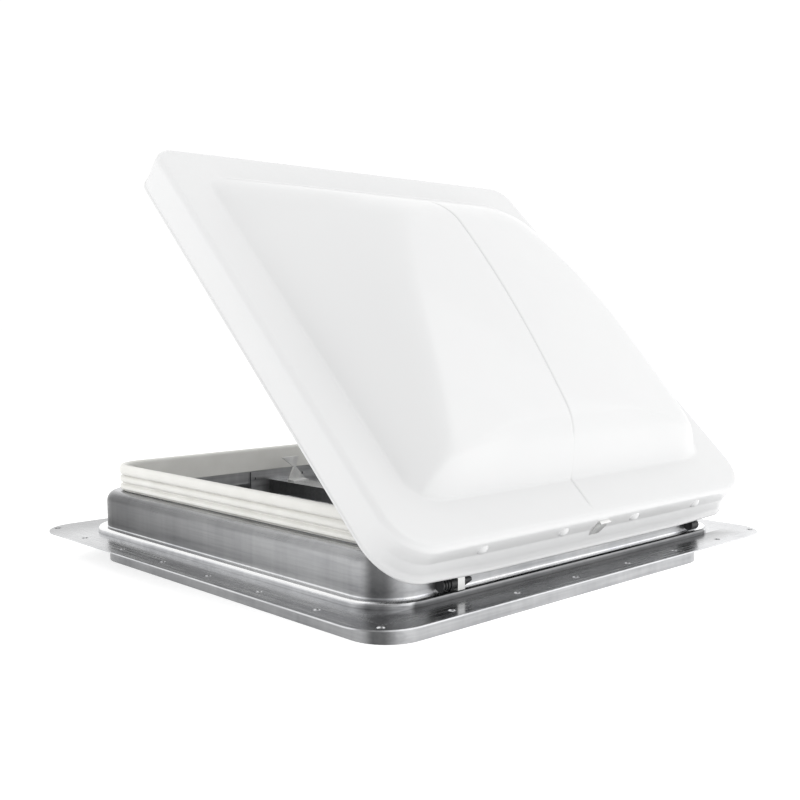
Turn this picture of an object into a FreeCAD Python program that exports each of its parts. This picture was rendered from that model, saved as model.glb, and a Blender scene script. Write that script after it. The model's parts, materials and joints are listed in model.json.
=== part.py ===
"""Roof vent with a cranked metal lid.

Millimetres, +Z up. The origin is the centre of the underside of the roof flange. The hinge
is on the -Y side. The lid is drawn shut and then turned open by OPEN_ANGLE.
"""

import FreeCAD, Part
import math
import os

V = FreeCAD.Vector
X_AXIS = V(1, 0, 0)
Y_AXIS = V(0, 1, 0)
Z_AXIS = V(0, 0, 1)
BIG = 500.0

# ---- driving dimensions -------------------------------------------------------------------
SHEET = 0.9                 # steel sheet of the base

FLANGE_HALF = 213.0
FLANGE_RADIUS = 32.0
FLANGE_THICK = 1.0
HOLE_RADIUS = 2.5
HOLE_PITCH = 58.5
HOLES_PER_SIDE = 6
HOLE_INSET = 10.5
CORNER_HOLE = 200.0

LEDGE_HALF = 185.2
LEDGE_RADIUS = 36.0
LEDGE_TOP = 5.5
WALL_HALF = 178.2
WALL_RADIUS = 30.0
SHOULDER_TOP = 34.3
SHOULDER_ROUND = 8.4
NECK_HALF = 167.2
NECK_RADIUS = 26.0
NECK_TOP = 50.0
LIP_BOTTOM = 24.0           # the neck hangs down this far inside the shoulder

COLLAR_HALF = 177.2
COLLAR_RADIUS = 29.0
COLLAR_BOTTOM = -22.6

GASKET_HALF = 169.7
GASKET_RADIUS = 28.0
GASKET_INNER = 163.4
GASKET_TOP = 55.6
GASKET_BOTTOM = 34.8
GASKET_INNER_BOTTOM = 35.0
GASKET_GROOVES = (47.5, 40.5)
GROOVE_WIDTH = 1.2
GROOVE_DEPTH = 1.3

# hinge axis, parallel to X
HINGE_Y = -175.5
HINGE_Z = 21.5
OPEN_ANGLE = 44.0
WIDEST_ANGLE = 60.0
POCKET_HALF = 148.0
POCKET_Y = -170.4
POCKET_FLOOR = 14.0
KNUCKLE_RADIUS = 3.0
PIN_RADIUS = 1.5
PIN_CLEARANCE = 0.05
LEAF_HALF = 125.0
LEAF_THICK = 1.2
KNUCKLE_GAP = 0.4
LEAF_RIVETS_X = (-62.0, -38.0, 38.0, 62.0)
LEAF_RIVET_Z = 17.0
LEAF_RISE = 20.0            # top of the moving leaf above the lid's side skirts
LEAF_DROP = 3.0
FIXED_KNUCKLES = ((-125.0, -75.0), (-25.0, 25.0), (75.0, 125.0))
MOVING_KNUCKLES = ((-75.0, -25.0), (25.0, 75.0))
BUSH_RADIUS = 4.6
BUSH_WIDTH = 8.0

# black end caps and a bright clip on the wall's foot, below the ends of the hinge
CAP_Y = -181.7
CAP_Z = 10.0
CAP_RADIUS = 3.9
CAP_CORE = 3.1
LEFT_RIBS_X = (-136.0, -133.7, -131.4)
LEFT_DISC_X = (-128.8, -124.2)
CLIP_X = (-123.8, -117.6)
LEFT_TAIL_X = (-117.2, -109.0)
RIGHT_CAP_X = (138.5, 150.0)

# lid, drawn shut: its hinge-side skirt face is at LID_Y and the side skirts end at LID_Z
LID_HALF = 188.0
LID_DEPTH = 368.0
LID_Y = -185.7
LID_Z = 29.2
LID_SHEET = 0.8
SKIRT_HEIGHT = 27.6
SKIRT_DROP = 3.6            # the hinge-side skirt hangs this much lower
LID_RADIUS = 24.0
LID_ROUND = 6.0
DOME_INSET = 30.4
DOME_RADIUS = 22.0
CREASE_SIDE_INSET = 76.0
CREASE_NEAR_INSET = 52.0
CREASE_FAR_INSET = 92.0
CREASE_NEAR_RISE = 26.0
CREASE_FAR_RISE = 38.0
CREASE_RADIUS = 24.0
CROWN_SIDE_INSET = 136.0
CROWN_NEAR_INSET = 126.0
CROWN_FAR_INSET = 116.0
CROWN_NEAR_RISE = 43.0
CROWN_FAR_RISE = 55.0
CROWN_RADIUS = 20.0
LID_RIVETS_X = (-117.3, -39.5, 39.5, 117.3)
LID_RIVET_RISE = 16.9

# crossbar and its end brackets
BAR_HALF = 11.0
BAR_BOTTOM = 14.0
BAR_TOP = 26.0
BRACKET_HALF = 31.0
BRACKET_TOP = 34.0
BRACKET_THICK = 1.2
BRACKET_HOLES_X = (-27.0, 27.0)
BRACKET_HOLE_Z = 28.0

BOW_HALF = 9.5              # the bow-shaped catch, which leans to one side
BOW_LEAN = 3.5
BOW_HEIGHT = 21.0

# lift arm: its pivot is one arm length from the hinge, so it turns twice as far as the lid
PIVOT_Y = -35.0
PIVOT_Z = 18.0
TRACK_SLOPE = 6.5           # degrees, the shut track points at the hinge axis
ARM_X = 38.5
ARM_THICK = 3.0
ARM_WIDTH = 12.0
SHAFT_RADIUS = 4.0
ROLLER_RADIUS = 4.0
ROLLER_WIDTH = 4.6
ROLLER_PIN_RADIUS = 1.8
TRACK_INNER_HALF = 7.4
TRACK_SHEET = 1.2
HANGER_SHEET = 0.8          # the strips that hang the track under the lid
TRACK_PLAY = 0.35
TRACK_SLOT = 5.6
TRACK_START = 92.0          # from the hinge axis, along the track
TRACK_END = 288.0

# worm drive
GEAR_TEETH = 30
GEAR_RADIUS = 18.0
GEAR_TIP = 19.1
GEAR_ROOT = 16.4
GEAR_WIDTH = 5.0
GEAR_X = 19.3
TOOTH_ROOT_WIDTH = 2.2
TOOTH_TIP_WIDTH = 1.0
WORM_RADIUS = 5.5
WORM_TIP = 6.4
WORM_ROOT = 4.1
WORM_TURNS = 6
WORM_SHAFT = 3.0
THREAD_ROOT_WIDTH = 1.5
THREAD_TIP_WIDTH = 0.8

HOUSING_X = (11.0, 27.4)
HOUSING_Y = (-58.0, -1.0)
HOUSING_Z = (-3.4, 39.4)
HOUSING_WALL = 1.2
HOUSING_SCREWS = ((-54.0, 0.6), (-54.0, 35.4), (-5.0, 0.6), (-5.0, 35.4))

HANDLE_TOP = -9.4
HANDLE_THICK = 3.0
HANDLE_REACH = 62.0
HANDLE_ANGLE = 200.0
HANDLE_WIDTH = 12.0
KNOB_RADIUS = 8.5
KNOB_BOTTOM = -21.8
KNOB_PIN_RADIUS = 2.5

SCREEN_HALF = 175.8
SCREEN_INNER = 166.0
SCREEN_RADIUS = 28.0
SCREEN_TOP = -4.4
SCREEN_BOTTOM = -8.0
MESH_MID = -6.2
MESH_THICK = 0.5
SCREEN_CLIPS = ((-1, 0), (1, 0), (0, -1), (0, 1))

OUT = "parts"


# ---- shape helpers ------------------------------------------------------------------------
def box(x0, x1, y0, y1, z0, z1):
    return Part.makeBox(x1 - x0, y1 - y0, z1 - z0, V(x0, y0, z0))


def rod(radius, start, axis, length):
    return Part.makeCylinder(radius, length, start, axis)


def rounded_wire(half_x, y0, y1, radius, z):
    """A rectangle in X and Y with round corners, as a closed wire."""
    points = []
    corners = ((half_x, y0, -90), (half_x, y1, 0), (-half_x, y1, 90), (-half_x, y0, 180))
    for x, y, first in corners:
        centre = V(x - math.copysign(radius, x), y + (radius if y == y0 else -radius), z)
        arc = []
        for turn in (0, 45, 90):
            a = math.radians(first + turn)
            arc.append(centre + V(radius * math.cos(a), radius * math.sin(a), 0))
        points.append(arc)
    edges = []
    for i, arc in enumerate(points):
        edges.append(Part.Arc(*arc).toShape())
        edges.append(Part.makeLine(arc[2], points[(i + 1) % 4][0]))
    return Part.Wire(edges)


def rounded_prism(half_x, y0, y1, radius, z0, z1):
    face = Part.Face(rounded_wire(half_x, y0, y1, radius, z0))
    return face.extrude(V(0, 0, z1 - z0))


def square_prism(half, radius, z0, z1):
    return rounded_prism(half, -half, half, radius, z0, z1)


def square_ring(outer, outer_radius, inner, z0, z1):
    inner_radius = outer_radius - (outer - inner)
    hole = square_prism(inner, inner_radius, z0 - 1, z1 + 1)
    return square_prism(outer, outer_radius, z0, z1).cut(hole)


def round_top(solid, z, radius):
    """Round the outer edges of a solid's flat top at height z."""
    edges = [e for e in solid.Edges if all(abs(v.Z - z) < 1e-4 for v in e.Vertexes)]
    return solid.makeFillet(radius, edges)


def fused(shapes):
    shapes = list(shapes)
    first = shapes[0]
    return first.fuse(shapes[1:]).removeSplitter() if len(shapes) > 1 else first


def rivet(x, y, z, axis, head, shank, grip, tail_thick=1.0):
    """A rivet whose head sits at the point and whose shank runs along the axis."""
    point = V(x, y, z)
    dome = Part.makeSphere(head * 1.25, point + axis * head * 0.75)
    cap = dome.common(rod(head, point - axis * head, axis, head))
    pieces = [cap, rod(shank, point, axis, grip)]
    if tail_thick:
        pieces.append(rod(shank * 1.5, point + axis * grip, axis, tail_thick))
    return fused(pieces)


def polygon_prism(points, direction):
    face = Part.Face(Part.makePolygon(points + points[:1]))
    return face.extrude(direction)


def opened(shape):
    """Turn a lid piece from shut to its resting, open place."""
    turned = shape.copy()
    turned.rotate(V(0, HINGE_Y, HINGE_Z), X_AXIS, OPEN_ANGLE)
    return turned


def arm_length():
    return math.hypot(PIVOT_Y - HINGE_Y, PIVOT_Z - HINGE_Z)


def arm_rest_angle():
    """The arm's angle from +Y when the lid stands open at OPEN_ANGLE."""
    base = math.degrees(math.atan2(PIVOT_Z - HINGE_Z, PIVOT_Y - HINGE_Y))
    return base + 2 * (TRACK_SLOPE - base + OPEN_ANGLE)


def raised_arm(shape):
    """Turn a piece of the arm from pointing along +Y to its resting place."""
    turned = shape.copy()
    turned.rotate(V(0, PIVOT_Y, PIVOT_Z), X_AXIS, arm_rest_angle())
    return turned


def sloped(shape):
    """Tilt a piece of the track, drawn level from the hinge axis, to its slope."""
    turned = shape.copy()
    turned.rotate(V(0, HINGE_Y, HINGE_Z), X_AXIS, TRACK_SLOPE)
    return turned


# ---- base ---------------------------------------------------------------------------------
def flange_hole_places():
    places = [(sx * CORNER_HOLE, sy * CORNER_HOLE) for sx in (-1, 1) for sy in (-1, 1)]
    line = FLANGE_HALF - HOLE_INSET
    for i in range(HOLES_PER_SIDE):
        along = (i - (HOLES_PER_SIDE - 1) / 2) * HOLE_PITCH
        places += [(along, -line), (along, line), (-line, along), (line, along)]
    return places


def riser(offset):
    """The riser's solid form, set inwards by an offset."""
    wall = square_prism(WALL_HALF - offset, WALL_RADIUS - offset, -offset, SHOULDER_TOP - offset)
    wall = round_top(wall, SHOULDER_TOP - offset, SHOULDER_ROUND - offset / 2)
    neck = square_prism(NECK_HALF - offset, NECK_RADIUS - offset, 0, NECK_TOP + 2 * offset)
    pocket = box(-POCKET_HALF - offset, POCKET_HALF + offset, -BIG, POCKET_Y + offset,
                 POCKET_FLOOR - offset, SHOULDER_TOP + 1)
    return wall.cut(pocket).fuse(neck).removeSplitter()


def base_flange():
    plate = square_prism(FLANGE_HALF, FLANGE_RADIUS, 0, FLANGE_THICK)
    holes = [rod(HOLE_RADIUS, V(x, y, -1), Z_AXIS, 4) for x, y in flange_hole_places()]
    ledge = square_prism(LEDGE_HALF, LEDGE_RADIUS, 0, LEDGE_TOP)
    ledge = round_top(ledge, LEDGE_TOP, 2.5)
    lip = square_ring(NECK_HALF, NECK_RADIUS, NECK_HALF - SHEET, LIP_BOTTOM, SHOULDER_TOP)
    throat = square_prism(WALL_HALF - SHEET, WALL_RADIUS - SHEET, -1, LEDGE_TOP)
    solid = fused([plate.cut(Part.makeCompound(holes)), ledge, riser(0)])
    hollow = throat.fuse(riser(SHEET))
    solid = solid.cut(hollow).fuse(lip).removeSplitter()
    for x in LEAF_RIVETS_X:
        solid = solid.cut(rod(2.0, V(x, POCKET_Y - 2, LEAF_RIVET_Z), Y_AXIS, 4))
    return solid


def lower_collar():
    skirt = square_ring(COLLAR_HALF, COLLAR_RADIUS, COLLAR_HALF - SHEET, COLLAR_BOTTOM, LEDGE_TOP)
    for sx, sy in SCREEN_CLIPS:
        start = V(sx * (COLLAR_HALF - 3), sy * (COLLAR_HALF - 3), -12.0)
        skirt = skirt.cut(rod(1.5, start, V(sx, sy, 0), 5))
    return skirt


def rim_gasket():
    outer = square_prism(GASKET_HALF, GASKET_RADIUS, GASKET_BOTTOM, GASKET_TOP)
    outer = round_top(outer, GASKET_TOP, 2.0)
    for z in GASKET_GROOVES:
        ring = square_ring(GASKET_HALF + 1, GASKET_RADIUS + 1, GASKET_HALF - GROOVE_DEPTH,
                           z - GROOVE_WIDTH / 2, z + GROOVE_WIDTH / 2)
        outer = outer.cut(ring)
    slot = square_prism(NECK_HALF, NECK_RADIUS, GASKET_BOTTOM - 1, NECK_TOP)
    lining = square_prism(NECK_HALF - SHEET, NECK_RADIUS - SHEET, GASKET_INNER_BOTTOM, NECK_TOP)
    throat = square_prism(GASKET_INNER, NECK_RADIUS - (NECK_HALF - GASKET_INNER),
                          GASKET_BOTTOM - 1, GASKET_TOP + 1)
    return outer.cut(slot).fuse(lining).cut(throat)


# ---- crossbar -----------------------------------------------------------------------------
def bracket_face():
    return NECK_HALF - SHEET


def cross_member():
    end = bracket_face() - BRACKET_THICK
    bar = box(-BAR_HALF, BAR_HALF, -end, end, BAR_BOTTOM, BAR_TOP)
    inside = box(-BAR_HALF + SHEET, BAR_HALF - SHEET, -end - 1, end + 1,
                 BAR_BOTTOM - 1, BAR_TOP - SHEET)
    pivot_hole = rod(SHAFT_RADIUS + 1, V(0, PIVOT_Y, PIVOT_Z), X_AXIS, 2 * BAR_HALF)
    return bar.cut(inside).cut(pivot_hole)


def cross_member_bracket(side):
    face = bracket_face()
    inner = face - BRACKET_THICK
    plate = box(-BRACKET_HALF, BRACKET_HALF, inner, face, BAR_BOTTOM - 3, BRACKET_TOP)
    foot = box(-BAR_HALF, BAR_HALF, inner - 14, inner, BAR_BOTTOM - 3, BAR_BOTTOM)
    piece = plate.fuse(foot)
    for x in BRACKET_HOLES_X:
        piece = piece.cut(rod(1.3, V(x, inner - 1, BRACKET_HOLE_Z), Y_AXIS, 4))
    if side < 0:
        piece = piece.mirror(V(0, 0, 0), Y_AXIS)
    return piece


def lid_catch():
    y = 142.0
    low = BAR_TOP + 1.0
    middle = low + BOW_HEIGHT * 0.55
    top = low + BOW_HEIGHT
    bow = [V(BOW_LEAN - BOW_HALF, y, low), V(BOW_LEAN + BOW_HALF, y, low), V(2.6, y, middle),
           V(BOW_HALF - BOW_LEAN, y, top), V(-BOW_HALF - BOW_LEAN, y, top), V(0, y, middle)]
    foot = box(BOW_LEAN - BOW_HALF, BAR_HALF, y - 8, y + 1.2, BAR_TOP, low)
    return foot.fuse(polygon_prism(bow, V(0, 1.2, 0))).removeSplitter()


# ---- hinge --------------------------------------------------------------------------------
def knuckles(spans):
    made = []
    for x0, x1 in spans:
        start = V(x0 + KNUCKLE_GAP, HINGE_Y, HINGE_Z)
        made.append(rod(KNUCKLE_RADIUS, start, X_AXIS, x1 - x0 - 2 * KNUCKLE_GAP))
    return made


def hinge_fixed_leaf():
    plate = box(-LEAF_HALF, LEAF_HALF, POCKET_Y - LEAF_THICK, POCKET_Y, POCKET_FLOOR + 0.3, 25.0)
    pieces = [plate] + knuckles(FIXED_KNUCKLES)
    for x0, x1 in FIXED_KNUCKLES:
        pieces.append(box(x0 + KNUCKLE_GAP, x1 - KNUCKLE_GAP, HINGE_Y, POCKET_Y - LEAF_THICK,
                          HINGE_Z - KNUCKLE_RADIUS, HINGE_Z - PIN_RADIUS - 0.3))
    leaf = fused(pieces)
    leaf = leaf.cut(rod(PIN_RADIUS, V(-BIG, HINGE_Y, HINGE_Z), X_AXIS, 2 * BIG))
    for x in LEAF_RIVETS_X:
        leaf = leaf.cut(rod(2.0, V(x, POCKET_Y - 3, LEAF_RIVET_Z), Y_AXIS, 6))
    return leaf


def hinge_leaf_rivets():
    y = POCKET_Y - LEAF_THICK
    grip = LEAF_THICK + SHEET
    return Part.makeCompound([rivet(x, y, LEAF_RIVET_Z, Y_AXIS, 2.6, 2.0, grip)
                              for x in LEAF_RIVETS_X])


def hinge_pin():
    half = LEAF_HALF + BUSH_WIDTH + 5
    return rod(PIN_RADIUS, V(-half, HINGE_Y, HINGE_Z), X_AXIS, 2 * half)


def hinge_bush(side):
    start = V(side * (LEAF_HALF + 1), HINGE_Y, HINGE_Z)
    barrel = rod(BUSH_RADIUS, start, X_AXIS * side, BUSH_WIDTH)
    x0, x1 = sorted((start.x, start.x + side * BUSH_WIDTH))
    foot = box(x0, x1, HINGE_Y - 2.0, POCKET_Y, POCKET_FLOOR, HINGE_Z - 2)
    bore = rod(PIN_RADIUS, V(-BIG, HINGE_Y, HINGE_Z), X_AXIS, 2 * BIG)
    return barrel.fuse(foot).cut(bore).removeSplitter()


def hinge_end_strap(side):
    """The bright end strap that holds a bush and the end of the pin to the wall."""
    x = side * (LEAF_HALF + 1 + BUSH_WIDTH)
    x0, x1 = sorted((x + side * 0.1, x + side * 1.3))
    tab = box(x0, x1, HINGE_Y - BUSH_RADIUS, POCKET_Y, POCKET_FLOOR, HINGE_Z + BUSH_RADIUS)
    a, b = sorted((x + side * 0.1, x + side * 11))
    foot = box(a, b, POCKET_Y - 1.2, POCKET_Y, POCKET_FLOOR, HINGE_Z + 2)
    bore = rod(PIN_RADIUS, V(-BIG, HINGE_Y, HINGE_Z), X_AXIS, 2 * BIG)
    return tab.fuse(foot).cut(bore).removeSplitter()


def cap_rod(radius, x0, x1):
    return rod(radius, V(x0, CAP_Y, CAP_Z), X_AXIS, x1 - x0)


def behind_wall_face():
    """Everything inwards of the wall's face, which the end caps lie flat against."""
    return box(-BIG, BIG, -WALL_HALF, BIG, -BIG, BIG)


def hinge_end_cap_left():
    """A ribbed grip, a disc and a pointed tail in one moulding."""
    pieces = [cap_rod(CAP_RADIUS, x, x + 1.3) for x in LEFT_RIBS_X]
    pieces.append(cap_rod(CAP_CORE, LEFT_RIBS_X[0], LEFT_DISC_X[0]))
    pieces.append(cap_rod(CAP_RADIUS, *LEFT_DISC_X))
    pieces.append(cap_rod(CAP_CORE - 1, LEFT_DISC_X[0], LEFT_TAIL_X[0]))
    start, end = LEFT_TAIL_X
    pieces.append(Part.makeCone(CAP_RADIUS, 1.6, end - start, V(start, CAP_Y, CAP_Z), X_AXIS))
    return fused(pieces).cut(behind_wall_face())


def hinge_end_cap_right():
    cap = cap_rod(CAP_RADIUS, *RIGHT_CAP_X)
    end = [e for e in cap.Edges if isinstance(e.Curve, Part.Circle)
           and abs(e.Curve.Center.x - RIGHT_CAP_X[1]) < 1e-4]
    return cap.makeFillet(3.4, end).cut(behind_wall_face())


def hinge_end_clip():
    """The bright clip that holds the left end cap to the wall."""
    x0, x1 = CLIP_X
    outer = box(x0, x1, CAP_Y - 3.9, -WALL_HALF, LEDGE_TOP + 0.1, POCKET_FLOOR + 0.2)
    inner = box(x0 - 1, x1 + 1, CAP_Y - 2.9, -WALL_HALF, LEDGE_TOP + 1.1, POCKET_FLOOR - 0.8)
    return outer.cut(inner)


# ---- lid ----------------------------------------------------------------------------------
def tilted_section(half_x, y0, y1, radius, z0, z1):
    """A round-cornered section whose height runs from z0 at y0 to z1 at y1."""
    wire = rounded_wire(half_x, y0, y1, radius, 0)
    slope = math.degrees(math.atan2(z1 - z0, y1 - y0))
    wire.rotate(V(0, y0, 0), X_AXIS, slope)
    wire.translate(V(0, 0, z0))
    return wire


def dome(offset, drop):
    """The raised middle of the lid: sloping sides to a crease, then a crown."""
    top = LID_Z + SKIRT_HEIGHT - drop
    far = LID_Y + LID_DEPTH

    def section(insets, radius, near_rise, far_rise):
        side, near, beyond = insets
        return tilted_section(LID_HALF - side - offset, LID_Y + near + offset,
                              far - beyond - offset, radius - offset,
                              top + near_rise, top + far_rise)

    base_insets = (DOME_INSET, DOME_INSET, DOME_INSET)
    crease_insets = (CREASE_SIDE_INSET, CREASE_NEAR_INSET, CREASE_FAR_INSET)
    crown_insets = (CROWN_SIDE_INSET, CROWN_NEAR_INSET, CROWN_FAR_INSET)
    foot = section(base_insets, DOME_RADIUS, -3, -3)
    base = section(base_insets, DOME_RADIUS, 0, 0)
    crease = section(crease_insets, CREASE_RADIUS, CREASE_NEAR_RISE, CREASE_FAR_RISE)
    crown = section(crown_insets, CROWN_RADIUS, CROWN_NEAR_RISE, CROWN_FAR_RISE)
    layers = [Part.makeLoft([a, b], True, True)
              for a, b in ((foot, base), (base, crease), (crease, crown))]
    return fused(layers)


def skirt_block(offset):
    top = LID_Z + SKIRT_HEIGHT - offset
    block = rounded_prism(LID_HALF - offset, LID_Y + offset, LID_Y + LID_DEPTH - offset,
                          LID_RADIUS - offset, LID_Z - SKIRT_DROP, top)
    return round_top(block, top, LID_ROUND - offset)


def skirt_trim():
    """What is cut away below the side and far skirts, which end higher."""
    low = LID_Z - SKIRT_DROP - 2
    points = [V(-BIG, LID_Y + 22, low), V(-BIG, LID_Y + 22, LID_Z - SKIRT_DROP),
              V(-BIG, LID_Y + 75, LID_Z), V(-BIG, LID_Y + BIG, LID_Z), V(-BIG, LID_Y + BIG, low)]
    return polygon_prism(points, V(2 * BIG, 0, 0))


def lid_rivet_holes(radius):
    return [rod(radius, V(x, LID_Y - 3, LID_Z + LID_RIVET_RISE), Y_AXIS, 8)
            for x in LID_RIVETS_X]


def lid_shell():
    outer = skirt_block(0).fuse(dome(0, 0))
    inner = skirt_block(LID_SHEET).fuse(dome(LID_SHEET, LID_SHEET))
    shell = outer.cut(inner).cut(skirt_trim())
    return opened(shell.cut(Part.makeCompound(lid_rivet_holes(2.0))))


def hinge_moving_leaf():
    y0 = LID_Y + LID_SHEET
    low = LID_Z - LEAF_DROP
    plate = box(-LEAF_HALF, LEAF_HALF, y0, y0 + LEAF_THICK, low, LID_Z + LEAF_RISE)
    pieces = [plate] + knuckles(MOVING_KNUCKLES)
    for x0, x1 in MOVING_KNUCKLES:
        pieces.append(box(x0 + KNUCKLE_GAP, x1 - KNUCKLE_GAP, y0, HINGE_Y,
                          HINGE_Z + PIN_RADIUS + 0.3, HINGE_Z + KNUCKLE_RADIUS))
        pieces.append(box(x0 + KNUCKLE_GAP, x1 - KNUCKLE_GAP, y0, y0 + LEAF_THICK,
                          HINGE_Z + PIN_RADIUS + 0.3, low))
    leaf = fused(pieces)
    bore = rod(PIN_RADIUS + PIN_CLEARANCE, V(-BIG, HINGE_Y, HINGE_Z), X_AXIS, 2 * BIG)
    return opened(leaf.cut(bore).cut(Part.makeCompound(lid_rivet_holes(2.0))))


def lid_rivets():
    grip = LID_SHEET + LEAF_THICK
    z = LID_Z + LID_RIVET_RISE
    return opened(Part.makeCompound([rivet(x, LID_Y, z, Y_AXIS, 4.2, 2.0, grip)
                                     for x in LID_RIVETS_X]))


def lid_center_clip():
    """A small square clip folded over the hinge-side skirt, at its middle."""
    low, high = LID_Z + 8.0, LID_Z + 21.5
    pad = box(-5.5, 5.5, LID_Y - 1.4, LID_Y, low, high)
    lip = box(-5.5, 5.5, LID_Y - 2.6, LID_Y - 1.4, high - 1.4, high)
    return opened(pad.fuse(lip).removeSplitter())


# ---- lift track ---------------------------------------------------------------------------
def track_half_height():
    return ROLLER_RADIUS + TRACK_PLAY


def lift_track():
    half = track_half_height()
    wide = TRACK_INNER_HALF + TRACK_SHEET
    y0 = HINGE_Y + TRACK_START
    y1 = HINGE_Y + TRACK_END
    body = box(ARM_X - wide, ARM_X + wide, y0, y1,
               HINGE_Z - half - TRACK_SHEET, HINGE_Z + half + TRACK_SHEET)
    space = box(ARM_X - TRACK_INNER_HALF, ARM_X + TRACK_INNER_HALF, y0 - 1, y1 + 1,
                HINGE_Z - half, HINGE_Z + half)
    slot = box(ARM_X - TRACK_SLOT / 2, ARM_X + TRACK_SLOT / 2, y0 - 1, y1 + 1,
               HINGE_Z - half - TRACK_SHEET - 1, HINGE_Z)
    return opened(sloped(body.cut(space).cut(slot)))


def strip(points, half_width, thickness):
    """A bent strip: a polyline in Y and Z, thickened upwards and extruded along X."""
    lower = [V(ARM_X - half_width, y, z) for y, z in points]
    upper = [V(ARM_X - half_width, y, z + thickness) for y, z in reversed(points)]
    return polygon_prism(lower + upper, V(2 * half_width, 0, 0))


def track_point(distance, height):
    """Y and Z of a point along the shut track, at a height over its middle line."""
    a = math.radians(TRACK_SLOPE)
    y = HINGE_Y + distance * math.cos(a) - height * math.sin(a)
    return y, HINGE_Z + distance * math.sin(a) + height * math.cos(a)


def track_brackets():
    """The near and far strips, spot welded under the lid, that hang the track."""
    under = LID_Z + SKIRT_HEIGHT - LID_SHEET
    thick = HANGER_SHEET
    top = track_half_height() + TRACK_SHEET
    near_hold = LID_Y + 24.6
    far_hold = LID_Y + LID_DEPTH - DOME_INSET + 10
    near = [(near_hold, under - thick), (near_hold + 8.4, under - thick),
            track_point(TRACK_START - 8, top + 1), track_point(TRACK_START, top),
            track_point(TRACK_START + 18, top)]
    far = [track_point(TRACK_END - 18, top), track_point(TRACK_END, top),
           (far_hold - 11, under - thick), (far_hold, under - thick)]
    return [strip(points, 7.0, thick) for points in (near, far)]


def track_bracket_near():
    return opened(track_brackets()[0])


def track_bracket_far():
    return opened(track_brackets()[1])


# ---- lift arm -----------------------------------------------------------------------------
def lift_arm():
    length = arm_length()
    x0 = ARM_X - ARM_THICK / 2
    hub = rod(9.0, V(x0, PIVOT_Y, PIVOT_Z), X_AXIS, ARM_THICK)
    tip = rod(3.6, V(x0, PIVOT_Y + length, PIVOT_Z), X_AXIS, ARM_THICK)
    outline = [V(x0, PIVOT_Y, PIVOT_Z - ARM_WIDTH / 2), V(x0, PIVOT_Y, PIVOT_Z + ARM_WIDTH / 2),
               V(x0, PIVOT_Y + length, PIVOT_Z + 3.2), V(x0, PIVOT_Y + length, PIVOT_Z - 3.2)]
    blade = polygon_prism(outline, V(ARM_THICK, 0, 0))
    arm = fused([hub, tip, blade])
    arm = arm.cut(rod(SHAFT_RADIUS, V(0, PIVOT_Y, PIVOT_Z), X_AXIS, BIG))
    arm = arm.cut(rod(ROLLER_PIN_RADIUS, V(0, PIVOT_Y + length, PIVOT_Z), X_AXIS, BIG))
    return raised_arm(arm)


def arm_pivot_shaft():
    start = HOUSING_X[0] + HOUSING_WALL + 0.3
    return rod(SHAFT_RADIUS, V(start, PIVOT_Y, PIVOT_Z), X_AXIS, ARM_X + ARM_THICK - start)


def roller_pin():
    reach = ARM_THICK / 2 + ROLLER_WIDTH + 0.6
    start = V(ARM_X - reach, PIVOT_Y + arm_length(), PIVOT_Z)
    return raised_arm(rod(ROLLER_PIN_RADIUS, start, X_AXIS, 2 * reach))


def track_rollers():
    made = []
    for side in (-1, 1):
        start = V(ARM_X + side * (ARM_THICK / 2 + 0.2), PIVOT_Y + arm_length(), PIVOT_Z)
        axis = X_AXIS * side
        wheel = rod(ROLLER_RADIUS, start, axis, ROLLER_WIDTH)
        made.append(wheel.cut(rod(ROLLER_PIN_RADIUS + 0.05, start - axis, axis, ROLLER_WIDTH + 2)))
    return raised_arm(Part.makeCompound(made))


def sector_gear():
    """A sector of a toothed wheel; a tooth stands exactly on +Y in the resting place."""
    x0 = GEAR_X - GEAR_WIDTH / 2
    pitch = 360.0 / GEAR_TEETH
    first = -int(2 * (WIDEST_ANGLE - OPEN_ANGLE) / pitch) - 2
    last = int(2 * OPEN_ANGLE / pitch) + 2
    centre = V(x0, PIVOT_Y, PIVOT_Z)
    wheel = Part.makeCylinder(GEAR_ROOT, GEAR_WIDTH, centre, X_AXIS)
    pieces = []
    for i in range(first, last + 1):
        tooth = polygon_prism(
            [V(x0, PIVOT_Y + GEAR_ROOT - 0.5, PIVOT_Z - TOOTH_ROOT_WIDTH / 2),
             V(x0, PIVOT_Y + GEAR_TIP, PIVOT_Z - TOOTH_TIP_WIDTH / 2),
             V(x0, PIVOT_Y + GEAR_TIP, PIVOT_Z + TOOTH_TIP_WIDTH / 2),
             V(x0, PIVOT_Y + GEAR_ROOT - 0.5, PIVOT_Z + TOOTH_ROOT_WIDTH / 2)],
            V(GEAR_WIDTH, 0, 0))
        tooth.rotate(V(0, PIVOT_Y, PIVOT_Z), X_AXIS, i * pitch)
        pieces.append(tooth)
    gear = fused([wheel] + pieces)
    return gear.cut(rod(SHAFT_RADIUS, V(0, PIVOT_Y, PIVOT_Z), X_AXIS, BIG))


# ---- worm and crank -----------------------------------------------------------------------
def worm_place():
    return GEAR_X, PIVOT_Y + GEAR_RADIUS + WORM_RADIUS


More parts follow.
